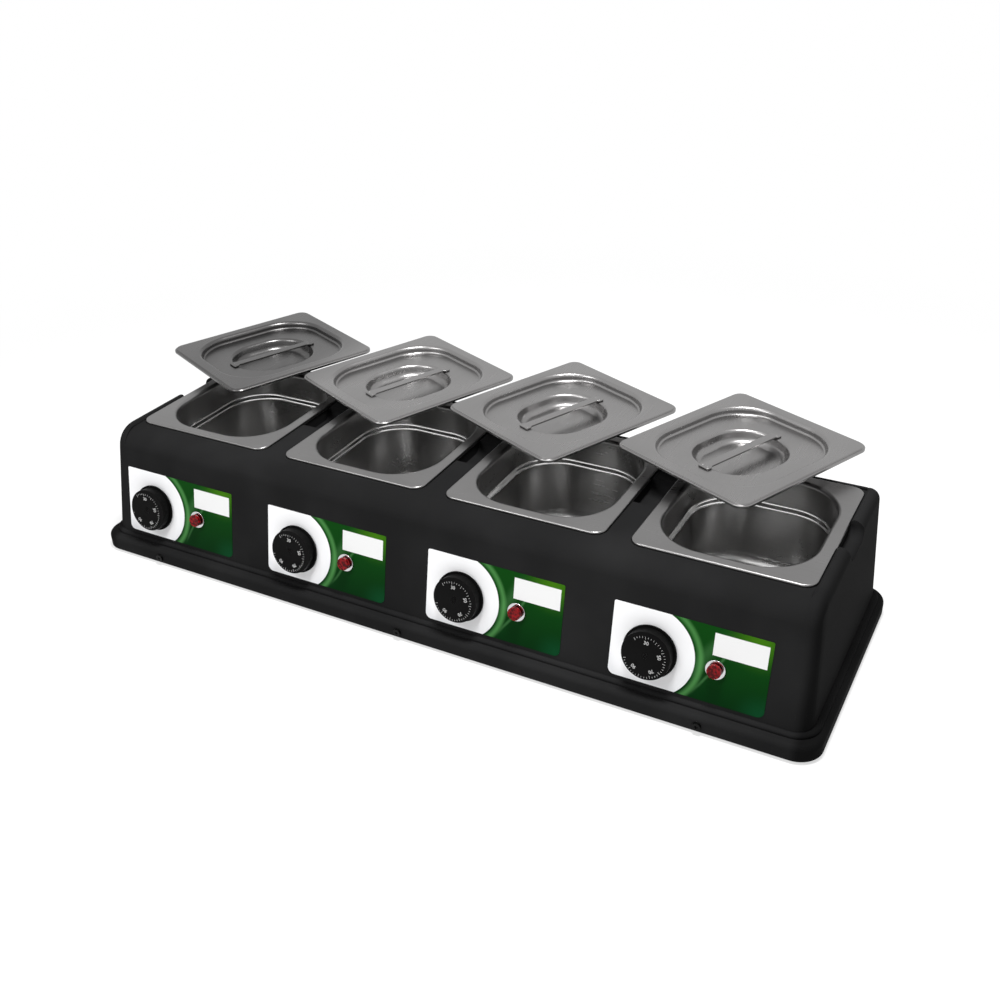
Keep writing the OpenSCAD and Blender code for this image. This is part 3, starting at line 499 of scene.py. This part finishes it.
def rounded_step(thing, low, high, width):
    """Rounds the sharp rings of a wall's step between two heights."""
    pick(thing)
    to_edit("SELECT", "EDGE")
    flat, square, sharp = (math.radians(angle) for angle in (2, 60, 25))
    bpy.ops.mesh.tris_convert_to_quads(face_threshold=flat, shape_threshold=square)
    bpy.ops.mesh.select_all(action="DESELECT")
    bpy.ops.mesh.edges_select_sharp(sharpness=sharp)
    to_object()
    mesh = thing.data
    for edge in mesh.edges:
        heights = [mesh.vertices[end].co.z for end in edge.vertices]
        edge.select = edge.select and low < min(heights) and max(heights) < high
    for part in (*mesh.polygons, *mesh.vertices):
        part.select = False
    bpy.ops.object.mode_set(mode="EDIT")
    bpy.ops.mesh.bevel(offset=width, segments=3, affect="EDGES")
    to_object()


def smooth_twin(node, name, slot, body, angle, step=None):
    """A merged and smoothly shaded copy of a solid, which stands for it."""
    twin = copied(frame["nodes"][node], name, Matrix.Identity(4))
    twin.parent = None
    pick(twin)
    bpy.ops.mesh.customdata_custom_splitnormals_clear()
    to_edit("SELECT", "VERT")
    bpy.ops.mesh.remove_doubles(threshold=0.002 * MM)
    to_object()
    if step:
        rounded_step(twin, *step)
    smoothed(twin, angle)
    finish_with(twin, slot)
    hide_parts(node)
    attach(twin, body)


def mount_piece(thing, slot, body, *nodes):
    finish_with(thing, slot)
    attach(thing, body)
    if nodes:
        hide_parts(*nodes)


def central(spot):
    return math.hypot(spot.x, spot.y) < 0.5 * MM


def extrude_up(rise):
    bpy.ops.mesh.extrude_region_move(TRANSFORM_OT_translate={"value": (0, 0, rise)})


def turned(name, radius, rings, vertices=96):
    """A round piece shaped from a cylinder. Each ring is (inset, rise) from the last top face."""
    top = rings[0]
    middle = (0, 0, top / 2)
    bpy.ops.mesh.primitive_cylinder_add(vertices=vertices, radius=radius, depth=top, location=middle)
    piece = bpy.context.active_object
    piece.name = name
    for inset, rise in rings[1:]:
        select_faces(piece, lambda c, n: n.z > 0.9 and abs(c.z - top) < 0.02 * MM and central(c))
        bpy.ops.mesh.inset(thickness=inset)
        extrude_up(rise)
        to_object()
        top += rise
    return piece


# Knobs: a flange, a tapering body with a rounded edge and a shallow dished face


KNOB_R = 24.3 * MM
KNOB_H = 14.5 * MM
KNOB_HOLLOW = 11 * MM
KNOB_WALL = 2.2 * MM


def model_knob():
    rings = [1.8 * MM, (0.5 * MM, 4.2 * MM), (0.35 * MM, 4.2 * MM), (0.35 * MM, 4.3 * MM)]
    knob = turned("knob", KNOB_R, rings)
    face_low = KNOB_H - 0.1 * MM
    select_faces(knob, lambda c, n: n.z > 0.9 and c.z > face_low)
    bpy.ops.mesh.bevel(offset=1.5 * MM, segments=5, affect="EDGES")
    to_object()
    select_faces(knob, lambda c, n: n.z > 0.9 and c.z > face_low and central(c))
    bpy.ops.mesh.inset(thickness=1.4 * MM)
    bpy.ops.mesh.inset(thickness=0.5 * MM)
    bpy.ops.transform.translate(value=(0, 0, -0.5 * MM))
    bpy.ops.mesh.inset(thickness=10.5 * MM)
    bpy.ops.mesh.inset(thickness=0.5 * MM)
    bpy.ops.transform.translate(value=(0, 0, 0.35 * MM))
    to_object()
    select_faces(knob, lambda c, n: n.z < -0.9)
    bpy.ops.mesh.inset(thickness=KNOB_WALL)
    extrude_up(KNOB_HOLLOW)
    to_object()
    bevelled(knob, 0.25 * MM, 2, 40)
    smoothed(knob, 35)
    return knob


DIAL_FACE = KNOB_H - 0.5 * MM
DIAL_OUTER_R = 19.2 * MM
DIAL_NUMBER_R = 13.4 * MM
DIAL_TICKS = 37
LONG_EVERY = 4
LONG_TICK = 2.6 * MM
SHORT_TICK = 1.4 * MM
DIAL_SWEEP = 288.0
DIAL_START = 126.0
DIAL_NUMBERS = (30, 50, 70, 90)


def model_dial_print():
    """Raised scale on the knob's face: fine graduations and the numbers of the temperature steps."""
    marks = []
    for k in range(DIAL_TICKS):
        length = LONG_TICK if k % LONG_EVERY == 0 else SHORT_TICK
        bpy.ops.mesh.primitive_cube_add(size=1, location=(0, 0, 0))
        mark = bpy.context.active_object
        mark.scale = (length, 0.22 * MM, 0.16 * MM)
        angle = math.radians(DIAL_START - k * DIAL_SWEEP / (DIAL_TICKS - 1))
        seat = Matrix.Translation((DIAL_OUTER_R - length / 2, 0, DIAL_FACE))
        place_in_mesh(mark, Matrix.Rotation(angle, 4, "Z") @ seat)
        marks.append(mark)
    for k, number in enumerate(DIAL_NUMBERS):
        angle = math.radians(DIAL_START - (k + 0.5) * DIAL_SWEEP / len(DIAL_NUMBERS))
        bpy.ops.object.text_add(location=(0, 0, 0))
        text = bpy.context.active_object
        text.data.body = str(number)
        text.data.size = 4.6 * MM
        text.data.align_x = "CENTER"
        text.data.align_y = "CENTER"
        text.data.extrude = 0.08 * MM
        text.data.resolution_u = 3
        bpy.ops.object.convert(target="MESH")
        text = bpy.context.active_object
        seat = Matrix.Translation((0, DIAL_NUMBER_R, DIAL_FACE))
        place_in_mesh(text, Matrix.Rotation(angle - math.pi / 2, 4, "Z") @ seat)
        marks.append(text)
    return joined("dial_scale", marks)


# How far each dial stands off its mark, in degrees, by station
DIAL_SKEW = {1: 0, 2: -3, 3: 2, 4: -2}

knob_model = model_knob()
dial_model = model_dial_print()
for i in STATIONS:
    seat = Matrix.Translation((0, 0, PANEL_FACE + KNOB_LIFT))
    stand = front_matrix(station_x(i) + KNOB_SHIFT, CONTROL_DROP) @ seat
    dial_stand = stand @ Matrix.Rotation(math.radians(DIAL_SKEW[i]), 4, "Z")
    body = "knob_body_%d" % i
    mount_piece(copied(knob_model, "dial_knob_%d" % i, stand), "knob_plastic", body, "knob_%d" % i)
    mount_piece(copied(dial_model, "dial_scale_%d" % i, dial_stand), "dial_print", body)
bpy.data.objects.remove(knob_model)
bpy.data.objects.remove(dial_model)


# Pilot lamps: stepped chrome bezel and a faceted red lens


BEZEL_R = 8.75 * MM
BEZEL_H = 8.5 * MM
BEZEL_RIM = 1 * MM
BEZEL_WELL = 5 * MM
SHANK_R = 6 * MM
SHANK_L = 20 * MM
SHANK_Z = -10.4 * MM
TAG_SIZE = (0.8 * MM, 2.8 * MM, 7 * MM)
TAG_X = 3 * MM
TAG_Z = -23.5 * MM
LENS_R = 6.35 * MM
UPRIGHT = 0.0001 * MM


def model_bezel():
    flange = [1.6 * MM, (0.9 * MM, 0.5 * MM)]
    rings = flange + [(UPRIGHT, 3.2 * MM), (0.25 * MM, 0.35 * MM), (UPRIGHT, 2.85 * MM)]
    bezel = turned("bezel", BEZEL_R, rings, 72)
    select_faces(bezel, lambda c, n: n.z > 0.9 and c.z > BEZEL_H - 0.1 * MM)
    bpy.ops.mesh.inset(thickness=BEZEL_RIM)
    extrude_up(-BEZEL_WELL)
    to_object()
    bevelled(bezel, 0.28 * MM, 3, 40)
    smoothed(bezel, 35)
    low = (0, 0, SHANK_Z)
    bpy.ops.mesh.primitive_cylinder_add(vertices=48, radius=SHANK_R, depth=SHANK_L, location=low)
    shank = bpy.context.active_object
    place_in_mesh(shank, Matrix.Identity(4))
    bevelled(shank, 0.5 * MM, 2, 40)
    parts = [bezel, shank]
    for side in (-1, 1):
        bpy.ops.mesh.primitive_cube_add(size=1, location=(side * TAG_X, 0, TAG_Z))
        tag = bpy.context.active_object
        tag.scale = TAG_SIZE
        place_in_mesh(tag, Matrix.Identity(4))
        bevelled(tag, 0.2 * MM, 1, 40)
        parts.append(tag)
    return joined("bezel", parts)


def model_lens():
    top = 3.4 * MM
    middle = (0, 0, top / 2)
    bpy.ops.mesh.primitive_cylinder_add(vertices=12, radius=LENS_R, depth=top, location=middle)
    lens = bpy.context.active_object
    for inset, rise in ((1.5 * MM, 1.1 * MM), (1.9 * MM, 0.7 * MM)):
        select_faces(lens, lambda c, n: n.z > 0.9 and c.z > top - 0.02 * MM)
        bpy.ops.mesh.inset(thickness=inset)
        bpy.ops.transform.translate(value=(0, 0, rise))
        to_object()
        top += rise
    lens.name = "lens"
    bevelled(lens, 0.12 * MM, 1, 12)
    return lens


bezel_model = model_bezel()
lens_model = model_lens()
for i in STATIONS:
    stand = front_matrix(station_x(i) + LAMP_SHIFT, CONTROL_DROP) @ Matrix.Translation((0, 0, PANEL_FACE))
    lens_stand = stand @ Matrix.Translation((0, 0, LENS_LIFT))
    bezel = copied(bezel_model, "bezel_%d" % i, stand)
    lens = copied(lens_model, "lens_%d" % i, lens_stand)
    mount_piece(bezel, "chrome", "warmer_base", "lamp_bezel_%d" % i)
    mount_piece(lens, "lamp_red", "warmer_base", "lamp_lens_%d" % i)
bpy.data.objects.remove(bezel_model)
bpy.data.objects.remove(lens_model)


# Lid bars: a flat strip with rounded edges, widened ends and two welds on each


BAR_HALF = 51.7 * MM
BAR_W = 9 * MM
BAR_END_W = 13 * MM
BAR_THICK = 2 * MM
BAR_END_L = 8 * MM
WELD_R = 1.3 * MM
WELD_X = 3.1 * MM
WELD_INSET = 3.6 * MM
WELD_Z = 1.66 * MM


def extrude_along(length):
    bpy.ops.mesh.extrude_region_move(TRANSFORM_OT_translate={"value": (0, length, 0)})


def model_lid_bar():
    bpy.ops.mesh.primitive_cube_add(size=1, location=(0, 0, BAR_THICK / 2))
    bar = bpy.context.active_object
    bar.scale = (BAR_W, 2 * (BAR_HALF - BAR_END_L), BAR_THICK)
    place_in_mesh(bar, Matrix.Identity(4))
    for side in (-1, 1):
        select_faces(bar, lambda c, n: n.y * side > 0.9)
        extrude_along(side * 2.4 * MM)
        bpy.ops.transform.resize(value=(BAR_END_W / BAR_W, 1, 0.72))
        extrude_along(side * 4.4 * MM)
        extrude_along(side * 1.2 * MM)
        bpy.ops.transform.resize(value=(0.78, 1, 1))
        to_object()
    bevelled(bar, 0.45 * MM, 3, 35)
    smoothed(bar, 35)
    welds = []
    for side in (-1, 1):
        for across in (-1, 1):
            spot = (across * WELD_X, side * (BAR_HALF - WELD_INSET), WELD_Z)
            bpy.ops.mesh.primitive_uv_sphere_add(segments=20, ring_count=10, radius=WELD_R, location=spot)
            weld = bpy.context.active_object
            weld.scale = (1, 1, 0.22)
            place_in_mesh(weld, Matrix.Identity(4))
            pick(weld)
            bpy.ops.object.shade_smooth()
            welds.append(weld)
    return joined("lid_bar", [bar] + welds)


bar_model = model_lid_bar()
for i in STATIONS:
    bar = copied(bar_model, "lid_bar_%d" % i, lid_matrix(i) @ Matrix.Translation((0, 0, -BAR_DROP)))
    mount_piece(bar, "lid_steel", "lid_body_%d" % i, "lid_handle_%d" % i)
bpy.data.objects.remove(bar_model)


# Sheet-metal and moulded pieces keep the solids' shape and get even shading

MOULDED_ANGLE = 24
SHEET_ANGLE = 30
shoulder_step = (SHOULDER_Z - SHOULDER_SPAN, SHOULDER_Z + SHOULDER_SPAN, SHOULDER_ROUND)
smooth_twin("housing", "housing_shell", "black_plastic", "warmer_base", MOULDED_ANGLE)
for i in STATIONS:
    pan_body = "pan_body_%d" % i
    smooth_twin("pan_%d" % i, "pan_sheet_%d" % i, "pan_steel", pan_body, SHEET_ANGLE, shoulder_step)
    smooth_twin("lid_%d" % i, "lid_sheet_%d" % i, "lid_steel", "lid_body_%d" % i, SHEET_ANGLE)


# Floor, light and camera


FLOOR_SIZE = 30
FLOOR_Z = -0.2 * MM
FLOOR_FADE = 0.75
FLOOR_FADE_BLUR = 0.8
FLOOR_GLOW = 0.62
WORLD_LIGHT = 0.28
WORLD_SEEN = 1.0


def stage_floor():
    """Pale floor that keeps the object's shadow, brighter to the camera and white further out."""
    bpy.ops.mesh.primitive_plane_add(size=FLOOR_SIZE, location=(0, 0, FLOOR_Z))
    floor = bpy.context.active_object
    floor.name = "floor"
    finish = Finish("pale floor", (0.9, 0.9, 0.9), 0.9, specular_ior_level=0.1)
    fine = finish.noise(3.0, 2.0)
    finish.set("Base Color", finish.blend(fine, (0.9, 0.9, 0.9), (0.92, 0.92, 0.92)))
    x, y, z = finish.axes()
    away = (x ** 2.0 + y ** 2.0).root().step(FLOOR_FADE, FLOOR_FADE_BLUR)
    seen = finish.node("ShaderNodeLightPath", out="Is Camera Ray").most(
        finish.node("ShaderNodeLightPath", out="Is Glossy Ray"))
    glow = finish.node("ShaderNodeEmission", values={"Color": (1, 1, 1, 1), "Strength": 1.0})
    share = seen * (FLOOR_GLOW + away * (1.0 - FLOOR_GLOW))
    lit = Wire(finish, finish.shader.outputs["BSDF"])
    mixed = finish.node("ShaderNodeMixShader", values=(share, lit, glow))
    finish.tree.links.new(mixed.socket, finish.tree.nodes["Material Output"].inputs["Surface"])
    floor.data.materials.append(finish.material)


def stage_lamp(name, spot, aim, size, watts):
    data = bpy.data.lights.new(name, "AREA")
    data.shape = "RECTANGLE"
    data.size, data.size_y = size
    data.energy = watts
    lamp = bpy.data.objects.new(name, data)
    bpy.context.scene.collection.objects.link(lamp)
    lamp.location = spot
    lamp.rotation_euler = (Vector(aim) - Vector(spot)).to_track_quat("-Z", "Y").to_euler()


def stage_world():
    """White to the camera and in reflections, softer as a light."""
    world = bpy.data.worlds.new("plain white")
    bpy.context.scene.world = world
    world.use_nodes = True
    tree = world.node_tree
    back = tree.nodes["Background"]
    path = tree.nodes.new("ShaderNodeLightPath")
    seen = tree.nodes.new("ShaderNodeMath")
    seen.operation = "MAXIMUM"
    tree.links.new(path.outputs["Is Camera Ray"], seen.inputs[0])
    tree.links.new(path.outputs["Is Glossy Ray"], seen.inputs[1])
    clear = tree.nodes.new("ShaderNodeMath")
    clear.operation = "MAXIMUM"
    tree.links.new(seen.outputs[0], clear.inputs[0])
    tree.links.new(path.outputs["Is Transmission Ray"], clear.inputs[1])
    level = tree.nodes.new("ShaderNodeMapRange")
    level.inputs["To Min"].default_value = WORLD_LIGHT
    level.inputs["To Max"].default_value = WORLD_SEEN
    tree.links.new(clear.outputs[0], level.inputs["Value"])
    back.inputs["Color"].default_value = (1, 1, 1, 1)
    tree.links.new(level.outputs[0], back.inputs["Strength"])


def stage_camera():
    data = bpy.data.cameras.new("camera")
    data.sensor_width = 36
    data.lens = 41.335
    camera = bpy.data.objects.new("camera", data)
    bpy.context.scene.collection.objects.link(camera)
    camera.location = (0.51093, -0.84397, 0.66355)
    camera.rotation_euler = (1.04126, 0.03162, 0.49449)
    bpy.context.scene.camera = camera


stage_camera()
stage_floor()
stage_lamp("key", (-0.9, -1.5, 1.7), (0, 0, 0.1), (1.0, 0.7), 22)
stage_lamp("top", (0.25, -0.15, 1.6), (0, 0.05, 0.1), (0.5, 0.3), 34)
stage_world()
bpy.context.scene.view_settings.view_transform = "Standard"

deselect()
